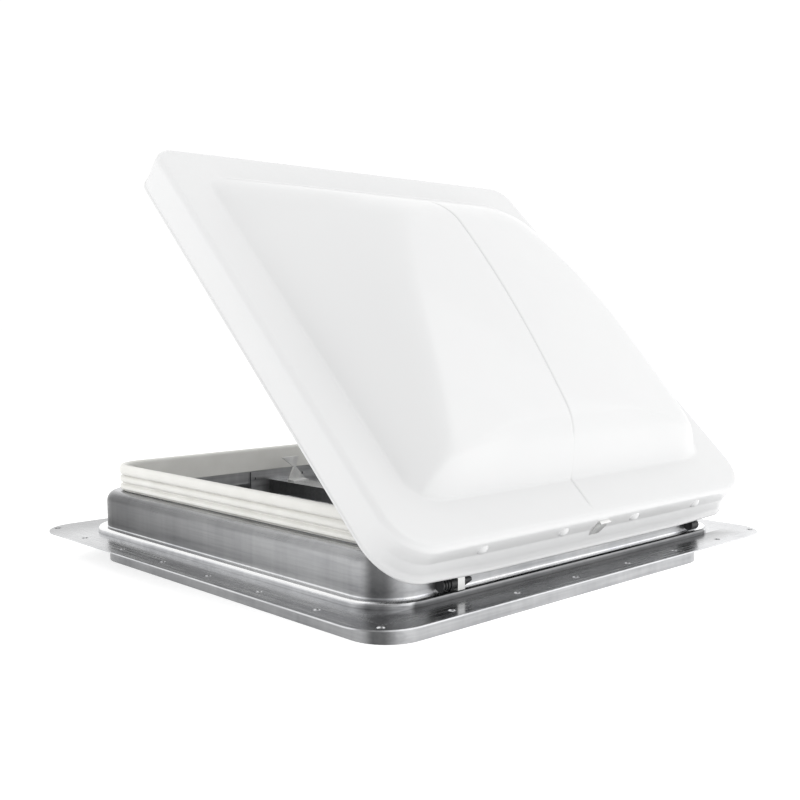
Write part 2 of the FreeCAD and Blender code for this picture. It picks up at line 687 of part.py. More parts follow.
def worm():
    x, y = worm_place()
    pitch = 2 * math.pi * GEAR_RADIUS / GEAR_TEETH
    height = WORM_TURNS * pitch
    helix = Part.makeHelix(pitch, height, WORM_RADIUS)
    inner = WORM_ROOT - 0.3
    outline = Part.makePolygon([V(inner, 0, -THREAD_ROOT_WIDTH / 2),
                                V(WORM_TIP, 0, -THREAD_TIP_WIDTH / 2),
                                V(WORM_TIP, 0, THREAD_TIP_WIDTH / 2),
                                V(inner, 0, THREAD_ROOT_WIDTH / 2),
                                V(inner, 0, -THREAD_ROOT_WIDTH / 2)])
    # turned so that a thread lies half a pitch above the tooth that stands on +Y
    thread = Part.Wire(helix.Edges).makePipeShell([outline], True, True)
    core = rod(WORM_ROOT, V(0, 0, -1.5), Z_AXIS, height + 3)
    solid = core.fuse(thread).cut(rod(WORM_SHAFT, V(0, 0, -3), Z_AXIS, height + 6))
    solid.rotate(V(0, 0, 0), Z_AXIS, 90)
    solid.translate(V(x, y, PIVOT_Z - height / 2))
    return solid


def crank_shaft():
    x, y = worm_place()
    low = HANDLE_TOP - HANDLE_THICK
    return rod(WORM_SHAFT, V(x, y, low), Z_AXIS, HOUSING_Z[1] - HOUSING_WALL - 0.4 - low)


def handle_end():
    x, y = worm_place()
    a = math.radians(HANDLE_ANGLE)
    return x + HANDLE_REACH * math.cos(a), y + HANDLE_REACH * math.sin(a)


def crank_handle():
    x, y = worm_place()
    low = HANDLE_TOP - HANDLE_THICK
    blade = box(0, HANDLE_REACH, -HANDLE_WIDTH / 2, HANDLE_WIDTH / 2, low, HANDLE_TOP)
    hub = rod(8.0, V(0, 0, low - 2.0), Z_AXIS, HANDLE_THICK + 2.0)
    tip = rod(HANDLE_WIDTH / 2, V(HANDLE_REACH, 0, low), Z_AXIS, HANDLE_THICK)
    pin = rod(KNOB_PIN_RADIUS, V(HANDLE_REACH, 0, KNOB_BOTTOM + 2), Z_AXIS,
              low - KNOB_BOTTOM - 2)
    solid = fused([blade, hub, tip, pin])
    solid = solid.cut(rod(WORM_SHAFT, V(0, 0, low), Z_AXIS, HANDLE_THICK + 3))
    solid.rotate(V(0, 0, 0), Z_AXIS, HANDLE_ANGLE)
    solid.translate(V(x, y, 0))
    return solid


def crank_knob():
    x, y = handle_end()
    low = HANDLE_TOP - HANDLE_THICK
    height = low - 0.3 - KNOB_BOTTOM
    knob = rod(KNOB_RADIUS, V(x, y, KNOB_BOTTOM), Z_AXIS, height)
    knob = knob.makeFillet(1.2, [e for e in knob.Edges if isinstance(e.Curve, Part.Circle)])
    return knob.cut(rod(KNOB_PIN_RADIUS + 0.06, V(x, y, KNOB_BOTTOM + 1.6), Z_AXIS, BIG))


# ---- gear housing -------------------------------------------------------------------------
def housing_bores():
    x, y = worm_place()
    return [rod(WORM_SHAFT + 0.05, V(x, y, -BIG), Z_AXIS, 2 * BIG),
            rod(SHAFT_RADIUS + 0.05, V(HOUSING_X[0] + HOUSING_WALL, PIVOT_Y, PIVOT_Z),
                X_AXIS, BIG)]


def gear_housing():
    x0, x1 = HOUSING_X
    y0, y1 = HOUSING_Y
    z0, z1 = HOUSING_Z
    wall = HOUSING_WALL
    body = box(x0, x1 - wall, y0, y1, z0, z1)
    space = box(x0 + wall, x1, y0 + wall, y1 - wall, z0 + wall, z1 - wall)
    posts = [rod(2.6, V(x0 + wall, y, z), X_AXIS, x1 - x0 - 2 * wall)
             for y, z in HOUSING_SCREWS]
    body = body.cut(space).fuse(posts).removeSplitter()
    screw_holes = [rod(1.2, V(x0 + 4, y, z), X_AXIS, BIG) for y, z in HOUSING_SCREWS]
    return body.cut(Part.makeCompound(screw_holes)).cut(Part.makeCompound(housing_bores()))


def gear_housing_cover():
    x0, x1 = HOUSING_X
    y0, y1 = HOUSING_Y
    z0, z1 = HOUSING_Z
    plate = box(x1 - HOUSING_WALL, x1, y0, y1, z0, z1)
    holes = [rod(1.2, V(x0, y, z), X_AXIS, BIG) for y, z in HOUSING_SCREWS]
    return plate.cut(Part.makeCompound(holes)).cut(housing_bores()[1])


def housing_screws():
    x0, x1 = HOUSING_X
    made = []
    for y, z in HOUSING_SCREWS:
        head = rod(2.2, V(x1, y, z), X_AXIS, 1.3)
        shank = rod(1.2, V(x0 + 5, y, z), X_AXIS, x1 - x0 - 5)
        made.append(head.fuse(shank))
    return Part.makeCompound(made)


# ---- insect screen ------------------------------------------------------------------------
def screen_frame():
    ring = square_ring(SCREEN_HALF, SCREEN_RADIUS, SCREEN_INNER, SCREEN_BOTTOM, SCREEN_TOP)
    groove = square_prism(SCREEN_INNER + 4, SCREEN_RADIUS - 4,
                          MESH_MID - MESH_THICK / 2, MESH_MID + MESH_THICK / 2)
    return ring.cut(groove)


def screen_mesh():
    x, y = worm_place()
    sheet = square_prism(SCREEN_INNER + 4, SCREEN_RADIUS - 4,
                         MESH_MID - MESH_THICK / 2, MESH_MID + MESH_THICK / 2)
    return sheet.cut(rod(9.0, V(x, y, SCREEN_BOTTOM), Z_AXIS, 6))


def screen_grommet():
    """The ring that edges the hole where the crank shaft comes through the mesh."""
    x, y = worm_place()
    low = MESH_MID - 1.2
    ring = rod(11.5, V(x, y, low), Z_AXIS, 2.4).cut(rod(7.5, V(x, y, low - 1), Z_AXIS, 5))
    slot = rod(20.0, V(x, y, MESH_MID - MESH_THICK / 2), Z_AXIS, MESH_THICK)
    keep = rod(9.0, V(x, y, low), Z_AXIS, 5)
    return ring.cut(slot.cut(keep))


def screen_clips():
    made = []
    inner = COLLAR_HALF - SHEET
    for sx, sy in SCREEN_CLIPS:
        leg = box(inner - 1.2, inner, -8, 8, -14.0, SCREEN_BOTTOM)
        toe = box(inner - 12, inner, -8, 8, SCREEN_BOTTOM - 1.2, SCREEN_BOTTOM)
        clip = leg.fuse(toe).removeSplitter()
        clip = clip.cut(rod(1.5, V(inner - 4, 0, -12.0), X_AXIS, 6))
        clip.rotate(V(0, 0, 0), Z_AXIS, math.degrees(math.atan2(sy, sx)))
        made.append(clip)
    return Part.makeCompound(made)


def screen_clip_rivets():
    made = []
    start = COLLAR_HALF - SHEET - 1.2
    for sx, sy in SCREEN_CLIPS:
        head = rod(2.8, V(start - 1.2, 0, -12.0), X_AXIS, 1.2)
        shank = rod(1.5, V(start, 0, -12.0), X_AXIS, 1.2 + SHEET)
        piece = head.fuse(shank)
        piece.rotate(V(0, 0, 0), Z_AXIS, math.degrees(math.atan2(sy, sx)))
        made.append(piece)
    return Part.makeCompound(made)


# ---- output -------------------------------------------------------------------------------
NODES = {
    "base_flange": base_flange,
    "lower_collar": lower_collar,
    "rim_gasket": rim_gasket,
    "cross_member": cross_member,
    "cross_member_bracket_near": lambda: cross_member_bracket(-1),
    "cross_member_bracket_far": lambda: cross_member_bracket(1),
    "lid_catch": lid_catch,
    "hinge_fixed_leaf": hinge_fixed_leaf,
    "hinge_leaf_rivets": hinge_leaf_rivets,
    "hinge_pin": hinge_pin,
    "hinge_bush_left": lambda: hinge_bush(-1),
    "hinge_bush_right": lambda: hinge_bush(1),
    "hinge_end_strap_left": lambda: hinge_end_strap(-1),
    "hinge_end_strap_right": lambda: hinge_end_strap(1),
    "hinge_end_cap_left": hinge_end_cap_left,
    "hinge_end_cap_right": hinge_end_cap_right,
    "hinge_end_clip": hinge_end_clip,
    "lid_shell": lid_shell,
    "hinge_moving_leaf": hinge_moving_leaf,
    "lid_rivets": lid_rivets,
    "lid_center_clip": lid_center_clip,
    "lift_track": lift_track,
    "track_bracket_near": track_bracket_near,
    "track_bracket_far": track_bracket_far,
    "lift_arm": lift_arm,
    "arm_pivot_shaft": arm_pivot_shaft,
    "roller_pin": roller_pin,
    "track_rollers": track_rollers,
    "sector_gear": sector_gear,
    "worm": worm,
    "crank_shaft": crank_shaft,
    "crank_handle": crank_handle,
    "crank_knob": crank_knob,
    "gear_housing": gear_housing,
    "gear_housing_cover": gear_housing_cover,
    "housing_screws": housing_screws,
    "screen_frame": screen_frame,
    "screen_mesh": screen_mesh,
    "screen_grommet": screen_grommet,
    "screen_clips": screen_clips,
    "screen_clip_rivets": screen_clip_rivets,
}

os.makedirs(OUT, exist_ok=True)
for name, make in NODES.items():
    shape = make()
    shape.exportStep(os.path.join(OUT, name + ".step"))
    print(name, len(shape.Solids), shape.isValid(), round(shape.Volume / 1000, 2))
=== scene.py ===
import json
import math

import bmesh
import bpy
from mathutils import Matrix, Vector


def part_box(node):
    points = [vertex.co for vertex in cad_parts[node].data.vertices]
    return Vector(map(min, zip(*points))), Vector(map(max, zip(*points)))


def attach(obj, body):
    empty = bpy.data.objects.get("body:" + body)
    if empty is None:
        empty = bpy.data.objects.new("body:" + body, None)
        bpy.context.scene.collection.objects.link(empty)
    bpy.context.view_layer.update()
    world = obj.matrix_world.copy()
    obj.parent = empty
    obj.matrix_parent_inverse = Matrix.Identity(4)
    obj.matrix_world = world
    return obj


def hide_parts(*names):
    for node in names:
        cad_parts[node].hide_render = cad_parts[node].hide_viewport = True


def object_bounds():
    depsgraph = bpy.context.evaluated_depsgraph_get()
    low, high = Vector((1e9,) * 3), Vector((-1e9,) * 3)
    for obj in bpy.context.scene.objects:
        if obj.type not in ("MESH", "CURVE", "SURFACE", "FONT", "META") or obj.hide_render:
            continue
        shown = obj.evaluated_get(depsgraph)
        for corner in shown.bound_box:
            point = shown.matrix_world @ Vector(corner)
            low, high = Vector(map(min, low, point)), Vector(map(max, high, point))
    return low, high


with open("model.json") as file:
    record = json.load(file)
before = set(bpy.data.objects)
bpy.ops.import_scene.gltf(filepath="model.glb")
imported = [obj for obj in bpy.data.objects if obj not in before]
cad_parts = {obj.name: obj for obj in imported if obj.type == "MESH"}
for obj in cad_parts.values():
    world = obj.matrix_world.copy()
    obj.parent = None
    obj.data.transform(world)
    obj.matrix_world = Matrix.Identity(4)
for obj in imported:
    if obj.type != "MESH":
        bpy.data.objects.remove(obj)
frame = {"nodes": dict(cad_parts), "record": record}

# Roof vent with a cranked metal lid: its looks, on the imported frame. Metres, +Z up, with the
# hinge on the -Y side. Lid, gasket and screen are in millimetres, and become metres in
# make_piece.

cad_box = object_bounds()
MM = 0.001

# ---- driving dimensions -------------------------------------------------------------------
OPEN_ANGLE = 44.0
HINGE_AXIS = Vector((0.0, -175.5, 21.5))

LID_FACE = 187.5            # half width over the skirts
LID_DEPTH = 367.1           # 0.9 less than the CAD's, whose far edge is rounder
LID_Y = -185.7              # hinge-side skirt, lid shut
LID_Z = 29.2                # bottom of the side skirts, lid shut
LID_SHEET = 0.8
SKIRT_HEIGHT = 27.6
SKIRT_DROP = 3.6            # the hinge-side skirt hangs this much lower
EDGE_ROUND = 4.6
NEAR_CORNER = 30.0
FAR_CORNER = 19.0
SEAM_X = -12.0
SEAM_START = 9.0            # from the hinge-side skirt
SEAM_END = 275.0
SEAM_WIDTH = 0.8
SEAM_DEPTH = 0.75
SEAM_INSIDE = 0.4           # share of that depth that shows on the lid's underside
BAND_SHARE = 0.42           # how far down the skirt its lower band starts
BAND_FLARE = 4.4            # how far the hinge-side band leans outwards
DOME_PEAK_U = 244.0         # where the dome is highest, from the hinge-side skirt
DOME_PEAK = 57.0
DOME_SIDE_FOOT = 157.0      # where the dome's slopes start, at the sides
DOME_NEAR_FOOT = 33.0       # and from the hinge-side skirt
DOME_FAR_FOOT = 337.0
SIDE_SLOPE = 0.97           # rise over run of the dome's slopes
SIDE_SLOPE_LOSS = 0.4       # how much flatter the side slopes get towards the far foot
NEAR_SLOPE = 1.42
FAR_SLOPE = 0.68
GRID_COARSE = 4.0
GRID_FINE = 1.2

GASKET_HALF = 169.7
GASKET_RADIUS = 28.0
GASKET_RIBS = ((34.9, 40.5), (40.5, 47.5))
MESH_PITCH = 3.4
WIRE_RADIUS = 0.32

# Camera, in metres and degrees.
CAMERA_PLACE = (-0.5804, -0.6268, 0.1687)
CAMERA_TURN = -43.11
CAMERA_DOWN = 5.84
CAMERA_ROLL = -0.27
CAMERA_LENS = 47.7
CAMERA_SHIFT = (-0.0064, 0.0387)

# Light.
BRIGHT_SIDE = (0.75, -0.35, 0.56)
SKY_LOW = 0.5               # the sky's strength opposite the bright side
SKY_HIGH = 1.52
HORIZON = 1.02              # the least that the low part of the sky has, so that it is white
BRIGHT_FLOOR = (0.64, -0.77, 0.0)   # the way in which the floor's glow grows
FLOOR_DIM = 0.68
FLOOR_BRIGHT = 1.12

# Heights and places on the sheet where its painted shade and painted highlights change, in metres.
FLANGE_TOP = 0.001
LEDGE_CREST = 0.0051
WALL_FOOT = 0.0052
LEDGE_FOOT_Y = -0.1843      # outer foot of the hinge-side ledge


def clamp(value, low=0.0, high=1.0):
    return max(low, min(high, value))


def ease(value, start, end):
    """0 before start, 1 after end, and smooth between them."""
    t = clamp((value - start) / (end - start))
    return t * t * (3 - 2 * t)


def mix(a, b, t):
    return a + (b - a) * t


def soft_min(a, b, width):
    """The lower of two heights, with the corner between them rounded."""
    t = clamp(0.5 + 0.5 * (b - a) / width)
    return mix(b, a, t) - width * t * (1 - t)


def soft_max(a, b, width):
    return -soft_min(-a, -b, width)


# ---- camera -------------------------------------------------------------------------------
def add_camera():
    data = bpy.data.cameras.new("camera")
    data.lens = CAMERA_LENS
    data.sensor_width = 36.0
    data.shift_x, data.shift_y = CAMERA_SHIFT
    data.clip_start = 0.01
    camera = bpy.data.objects.new("camera", data)
    camera.location = CAMERA_PLACE
    camera.rotation_mode = "XYZ"
    turn = Matrix.Rotation(math.radians(CAMERA_TURN), 4, "Z")
    tilt = Matrix.Rotation(math.radians(90 - CAMERA_DOWN), 4, "X")
    roll = Matrix.Rotation(math.radians(CAMERA_ROLL), 4, "Z")
    camera.rotation_euler = (turn @ tilt @ roll).to_euler()
    bpy.context.collection.objects.link(camera)
    bpy.context.scene.camera = camera


# ---- node materials -----------------------------------------------------------------------
def add_node(tree, kind, settings=None, **sockets):
    """A shader node; a socket given as a node output is linked, and else set.

    i0, i1 and so on stand for a socket's number, and other words for its name.
    """
    made = tree.nodes.new("ShaderNode" + kind)
    for key, value in (settings or {}).items():
        setattr(made, key, value)
    for key, value in sockets.items():
        socket = made.inputs[int(key[1:]) if key[1:].isdigit() else key.replace("_", " ")]
        if isinstance(value, bpy.types.NodeSocket):
            tree.links.new(value, socket)
        else:
            socket.default_value = value
    return made


def noise(tree, place, stretch, scale, detail=3.0):
    """Noise of that scale per metre, stretched along the axes; gives its value."""
    mapped = add_node(tree, "Mapping", Vector=place, Scale=stretch)
    made = add_node(tree, "TexNoise", Vector=mapped.outputs[0], Scale=scale, Detail=detail)
    return made.outputs[0]


def math_node(tree, operation, a, b):
    return add_node(tree, "Math", {"operation": operation}, i0=a, i1=b).outputs[0]


def product(tree, first, *others):
    for other in others:
        first = math_node(tree, "MULTIPLY", first, other)
    return first


def size_of(tree, value):
    return math_node(tree, "ABSOLUTE", value, 0.0)


def ramp(tree, value, start, end, low=0.0, high=1.0, smooth=False):
    """Low where the value is at start or before, high at end or after."""
    kind = {"interpolation_type": "SMOOTHSTEP" if smooth else "LINEAR"}
    made = add_node(tree, "MapRange", kind, Value=value, From_Min=start, From_Max=end,
                    To_Min=low, To_Max=high)
    return made.outputs[0]


def spread(tree, value, low, high):
    """A noise value, mostly between 0.3 and 0.7, spread out from low to high."""
    return ramp(tree, value, 0.3, 0.7, low, high)


def near_value(tree, value, centre, inner, outer, factor):
    """The factor where the value is within inner of the centre, and 1 beyond outer."""
    away = size_of(tree, math_node(tree, "SUBTRACT", value, centre))
    return ramp(tree, away, inner, outer, factor, 1.0, smooth=True)


def colour_between(tree, value, dark, light):
    ramp = add_node(tree, "ValToRGB", Fac=value)
    ramp.color_ramp.elements[0].color = (*dark, 1)
    ramp.color_ramp.elements[1].color = (*light, 1)
    ramp.color_ramp.elements[0].position = 0.3
    ramp.color_ramp.elements[1].position = 0.7
    return ramp.outputs[0]


def start_material(name, **values):
    """A material with its shader's plain values set; gives its tree, shader and place."""
    made = bpy.data.materials.new(name)
    made.use_nodes = True
    tree = made.node_tree
    shader = tree.nodes["Principled BSDF"]
    for key, value in values.items():
        shader.inputs[key.replace("_", " ")].default_value = value
    place = tree.nodes.new("ShaderNodeTexCoord").outputs["Object"]
    return made, tree, shader, place


def bump(tree, shader, height, distance, strength=1.0, under=None):
    """Bump of that height in metres on the shader, over an earlier bump."""
    made = add_node(tree, "Bump", Height=height, Distance=distance, Strength=strength)
    if under is not None:
        tree.links.new(under.outputs[0], made.inputs["Normal"])
    tree.links.new(made.outputs[0], shader.inputs["Normal"])
    return made


def enamel():
    """Gloss white enamel on pressed sheet: faint waviness, orange peel, patchy gloss."""
    made, tree, shader, place = start_material("white_enamel", Coat_Weight=0.45,
                                               Coat_Roughness=0.1)
    patch = noise(tree, place, (1, 1, 1), 7.0)
    tree.links.new(colour_between(tree, patch, (0.581, 0.583, 0.585), (0.589, 0.591, 0.592)),
                   shader.inputs["Base Color"])
    cloud = noise(tree, place, (1, 1, 1), 60.0)
    tree.links.new(spread(tree, cloud, 0.36, 0.44), shader.inputs["Roughness"])
    waves = bump(tree, shader, noise(tree, place, (1, 1, 1), 12.0, 1.0), 0.0004, 0.4)
    bump(tree, shader, noise(tree, place, (1, 1, 1), 380.0, 2.0), 0.00001, 0.4, waves)
    return made


def sheet_grain(tree, place, x, y):
    """Streaks along the nearest side, soft blotches, and both mixed with drag marks."""
    across = math_node(tree, "SUBTRACT", size_of(tree, x), size_of(tree, y))
    side = ramp(tree, across, -0.012, 0.012)
    along_x = noise(tree, place, (0.03, 1, 1), 460.0)
    along_y = noise(tree, place, (1, 0.03, 1), 460.0)
    streak = add_node(tree, "Mix", i0=side, i2=along_x, i3=along_y).outputs[0]
    drag = noise(tree, place, (1, 1, 0.06), 160.0, 2.0)
    blotch = noise(tree, place, (1, 1, 1.5), 22.0, 4.0)
    tone = math_node(tree, "ADD", product(tree, streak, 0.45), product(tree, drag, 0.2))
    tone = math_node(tree, "ADD", tone, product(tree, blotch, 0.35))
    return streak, blotch, tone


def sheet_painted_light(tree, x, y, z, facing_x, facing_y):
    """Painted light on the sheet, by place and facing, in the object's own axes: painted shade, a
    painted dark strip and painted highlight lines.
    """
    # Painted shade: the walls that face -X are darker, and darker still towards the far (+Y) end.
    left_wall_painted_shade = ramp(tree, y, -0.12, 0.16, 0.76, 0.2)
    wall = ramp(tree, facing_x, -0.95, -0.1, left_wall_painted_shade, 0.95)
    # Painted shade: the flange is darker at its far end, and the collar under it darker on all
    # sides but the hinge side.
    flange = ramp(tree, y, 0.16, 0.2, 1.1, 0.72)
    collar = ramp(tree, facing_y, -0.9, -0.2, 0.88, 0.62)
    foot = ramp(tree, z, -0.0002, 0.0002, collar, flange)
    # Painted highlight: the ledge, from just above the flange top to the wall's foot, is
    # lightened.
    foot = ramp(tree, z, FLANGE_TOP + 0.0002, FLANGE_TOP + 0.0007, foot, 1.4)
    shade = ramp(tree, z, WALL_FOOT, WALL_FOOT + 0.001, foot, wall)

    # Painted shade: a dark strip on the flange just outside the hinge-side ledge, under the lid,
    # lightening outwards and ending towards the corners.
    outside = ramp(tree, y, LEDGE_FOOT_Y, LEDGE_FOOT_Y - 0.022, 0.28, 1.05)
    inside = ramp(tree, y, LEDGE_FOOT_Y, LEDGE_FOOT_Y + 0.0012)
    beside = ramp(tree, size_of(tree, x), 0.15, 0.19)
    band = math_node(tree, "MAXIMUM", math_node(tree, "MAXIMUM", inside, beside), outside)
    # Painted shade on the walls' hinge-side round corners, where they face half towards -Y.
    corner_painted_shade = near_value(tree, facing_y, -0.6, 0.08, 0.38, 0.3)
    # A painted highlight line along the ledge's crest.
    crest_painted_highlight = near_value(tree, z, LEDGE_CREST, 0.0006, 0.0014, 1.7)
    return product(tree, shade, band, corner_painted_shade, crest_painted_highlight)


def sheet_metal(name, dark, light, rough):
    """Pressed galvanised sheet: streaks along each side, cross drag marks, soft blotches.

    Painted shade, a painted dark strip and painted highlight lines are laid into its colour by
    place and facing, and its level faces are the smoothest.
    """
    made, tree, shader, place = start_material(name, Metallic=1.0)
    facing = tree.nodes.new("ShaderNodeTexCoord").outputs["Normal"]
    facing_x, facing_y, facing_z = add_node(tree, "SeparateXYZ", Vector=facing).outputs
    x, y, z = add_node(tree, "SeparateXYZ", Vector=place).outputs
    streak, blotch, tone = sheet_grain(tree, place, x, y)
    # The grain's colour, scaled by the painted shade and painted highlights.
    painted_light_colour = add_node(tree, "VectorMath", {"operation": "SCALE"},
                      Scale=sheet_painted_light(tree, x, y, z, facing_x, facing_y),
                      i0=colour_between(tree, tone, dark, light))
    tree.links.new(painted_light_colour.outputs[0], shader.inputs["Base Color"])
    level = product(tree, size_of(tree, facing_z), 0.12)
    gloss = spread(tree, streak, rough - 0.06, rough + 0.08)
    tree.links.new(math_node(tree, "SUBTRACT", gloss, level), shader.inputs["Roughness"])
    first = bump(tree, shader, streak, 0.00005, 0.5)
    bump(tree, shader, blotch, 0.0003, 0.3, first)
    return made


def plated(name, dark, light, rough, grain, depth):
    """Small metal parts: fine grain in colour and gloss, and a little relief."""
    made, tree, shader, place = start_material(name, Metallic=1.0)
    fine = noise(tree, place, (1, 1, 1), grain)
    wide = noise(tree, place, (1, 1, 0.3), grain * 0.12, 4.0)
    tone = math_node(tree, "ADD", product(tree, fine, 0.5), product(tree, wide, 0.5))
    tree.links.new(colour_between(tree, tone, dark, light), shader.inputs["Base Color"])
    tree.links.new(spread(tree, wide, rough - 0.06, rough + 0.1), shader.inputs["Roughness"])
    bump(tree, shader, fine, depth, 0.5)
    return made


def moulded(name, dark, light, rough, grain, depth):
    """Plastic and rubber: a fine skin texture, slight clouding and patchy gloss."""
    made, tree, shader, place = start_material(name)
    fine = noise(tree, place, (1, 1, 1), grain)
    wide = noise(tree, place, (1, 1, 1), grain * 0.06, 4.0)
    tree.links.new(colour_between(tree, wide, dark, light), shader.inputs["Base Color"])
    tree.links.new(spread(tree, wide, rough - 0.05, rough + 0.08), shader.inputs["Roughness"])
    bump(tree, shader, fine, depth, 0.5)
    return made


def make_finishes():
    return {
        "galvanised_sheet": sheet_metal("galvanised", (0.34, 0.344, 0.356),
                                        (0.62, 0.624, 0.63), 0.34),
        "white_paint": enamel(),
        "gasket_rubber": moulded("cream_gasket", (0.625, 0.62, 0.59), (0.672, 0.668, 0.642),
                                 0.5, 900.0, 0.00004),
        "bright_steel": plated("zinc_plate", (0.6, 0.6, 0.595), (0.8, 0.8, 0.79),
                               0.42, 1400.0, 0.00002),
        "black_plastic": moulded("black_moulding", (0.012, 0.012, 0.013),
                                 (0.03, 0.03, 0.032), 0.42, 1800.0, 0.00003),
        "cast_zinc": plated("cast_metal", (0.33, 0.33, 0.34), (0.5, 0.5, 0.5),
                            0.5, 900.0, 0.00008),
        "gear_steel": plated("oiled_steel", (0.26, 0.25, 0.24), (0.44, 0.43, 0.42),
                             0.34, 1200.0, 0.00003),
        "white_plastic": moulded("white_moulding", (0.70, 0.70, 0.68), (0.76, 0.76, 0.74),
                                 0.34, 1500.0, 0.00002),
        "screen_wire": plated("wire_metal", (0.12, 0.125, 0.13), (0.3, 0.3, 0.3),
                              0.42, 1800.0, 0.00002),
        "screen_rim": plated("mill_aluminium", (0.5, 0.5, 0.51), (0.7, 0.7, 0.7),
                             0.34, 700.0, 0.00003),
    }


def finish_cad_nodes(finishes):
    """Every CAD node gets the finish of its slot in the record."""
    slots = {row["node"]: row["material_slot"] for row in frame["record"]["subparts"]
             if "node" in row and "material_slot" in row}
    for name, obj in frame["nodes"].items():
        for place in obj.material_slots:
            place.material = finishes[slots[name]]


# ---- mesh helpers -------------------------------------------------------------------------
def make_piece(name, points, faces, slot, body, finishes, replaces=(), sharp=40.0):
    """A smooth-shaded mesh from points in millimetres, riding on a body."""
    data = bpy.data.meshes.new(name)
    data.from_pydata([Vector(p) * MM for p in points], [], faces)
    data.validate()
    shape = bmesh.new()
    shape.from_mesh(data)
    bmesh.ops.recalc_face_normals(shape, faces=shape.faces)
    shape.to_mesh(data)
    shape.free()
    data.polygons.foreach_set("use_smooth", [True] * len(data.polygons))
    data.set_sharp_from_angle(angle=math.radians(sharp))
    data.materials.append(finishes[slot])
    obj = bpy.data.objects.new(name, data)
    bpy.context.collection.objects.link(obj)
    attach(obj, body)
    if replaces:
        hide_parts(*replaces)
    return obj


def opened(points):
    """Points drawn on the shut lid, turned to the lid's resting place."""
    turn = Matrix.Rotation(math.radians(OPEN_ANGLE), 3, "X")
    return [turn @ (Vector(p) - HINGE_AXIS) + HINGE_AXIS for p in points]


def grid_faces(rows, columns, closed_rows=False, closed_columns=False):
    """Quads between rows of points; the points are numbered row by row."""
    faces = []
    for i in range(rows if closed_rows else rows - 1):
        for j in range(columns if closed_columns else columns - 1):
            a, b = i * columns, (i + 1) % rows * columns
            k = (j + 1) % columns
            faces.append((a + j, a + k, b + k, b + j))
    return faces


def square_outline(half, radius, per_corner=14, per_side=24):
    """Points and outward directions round a square with round corners."""
    outline = []
    straight = half - radius
    for quarter in range(4):
        turn = Matrix.Rotation(math.radians(90 * quarter), 3, "Z")
        for i in range(per_side):
            y = mix(-straight, straight, i / per_side)
            outline.append((turn @ Vector((half, y, 0)), turn @ Vector((1, 0, 0))))
        for i in range(per_corner):
            a = math.radians(90 * i / per_corner)
            out = Vector((math.cos(a), math.sin(a), 0))
            outline.append((turn @ (Vector((straight, straight, 0)) + out * radius), turn @ out))
    return outline


def swept_square(half, radius, profile):
    """A closed profile of (inset, height) swept round a square; gives points and faces."""
    outline = square_outline(half, radius)
    points = []
    for place, out in outline:
        for inset, height in profile:
            points.append(place - out * inset + Vector((0, 0, height)))
    return points, grid_faces(len(outline), len(profile), True, True)


# ---- lid ----------------------------------------------------------------------------------
def dome_height(x, u):
    """Height of the dome over the lid's flat rim, u from the hinge-side skirt."""
    side_slope = SIDE_SLOPE - SIDE_SLOPE_LOSS * clamp((u - 150.0) / 123.0) ** 1.3
    side = (DOME_SIDE_FOOT - abs(x)) * side_slope
    near = (u - DOME_NEAR_FOOT) * NEAR_SLOPE
    far = (DOME_FAR_FOOT - u) * FAR_SLOPE
    rise = clamp((DOME_PEAK_U - u) / (DOME_PEAK_U - 52.0), 0.0, 1.2)
    crown = DOME_PEAK - 28.0 * rise ** 1.8 - 3.0 * (x / 100.0) ** 2
    foot = soft_min(near, side, 30.0 - 18.0 * ease(min(near, side), 4, 26))
    blend = mix(6.0, 18.0, ease(u, 50, 290))
    top = soft_min(foot, crown, mix(blend, 20.0, ease(side - near, 10, 60)))
    top = soft_min(top, far, 14.0)
    return soft_max(top, 0.0, 1.0)


def seam_depth(x, u):
    """The fine groove in the lid, a little to one side of the middle."""
    across = math.exp(-((x - SEAM_X) / SEAM_WIDTH) ** 2)
    along = ease(u, SEAM_START, SEAM_START + 2) * (1 - ease(u, SEAM_END - 13, SEAM_END))
    slope = 1 - 0.8 * ease(u, 33, 36) * (1 - ease(u, 50, 56))
    return SEAM_DEPTH * across * along * slope


def lid_lines(low, high, places, reach):
    """Grid lines from low to high, closer together near the places."""
    lines = [low]
    while lines[-1] < high:
        near = any(a - reach <= lines[-1] <= b + reach for a, b in places)
        lines.append(lines[-1] + (GRID_FINE if near else GRID_COARSE))
    scale = (high - low) / (lines[-1] - low)
    return [low + (value - low) * scale for value in lines]


def rounded_place(x, u, half, u0, u1):
    """A point of the plain rectangle, moved so that the rectangle gets round corners."""
    radius = (NEAR_CORNER if u < (u0 + u1) / 2 else FAR_CORNER) - EDGE_ROUND
    a = clamp((abs(x) - (half - radius)) / radius)
    b = clamp((max(u0 + radius - u, u - (u1 - radius))) / radius)
    if a == 0 or b == 0:
        return x, u, a, b
    moved_a = a * math.sqrt(1 - b * b / 2)
    moved_b = b * math.sqrt(1 - a * a / 2)
    new_x = math.copysign(half - radius + moved_a * radius, x)
    new_u = u0 + radius - moved_b * radius if u < (u0 + u1) / 2 else u1 - radius + moved_b * radius
    return new_x, new_u, moved_a, moved_b


def skirt_bottom(x, u):
    """The hinge-side skirt hangs lower along its middle, and its corners don't."""
    return -SKIRT_DROP * (1 - ease(u, 10, 30)) * (1 - ease(abs(x), 95, 165))


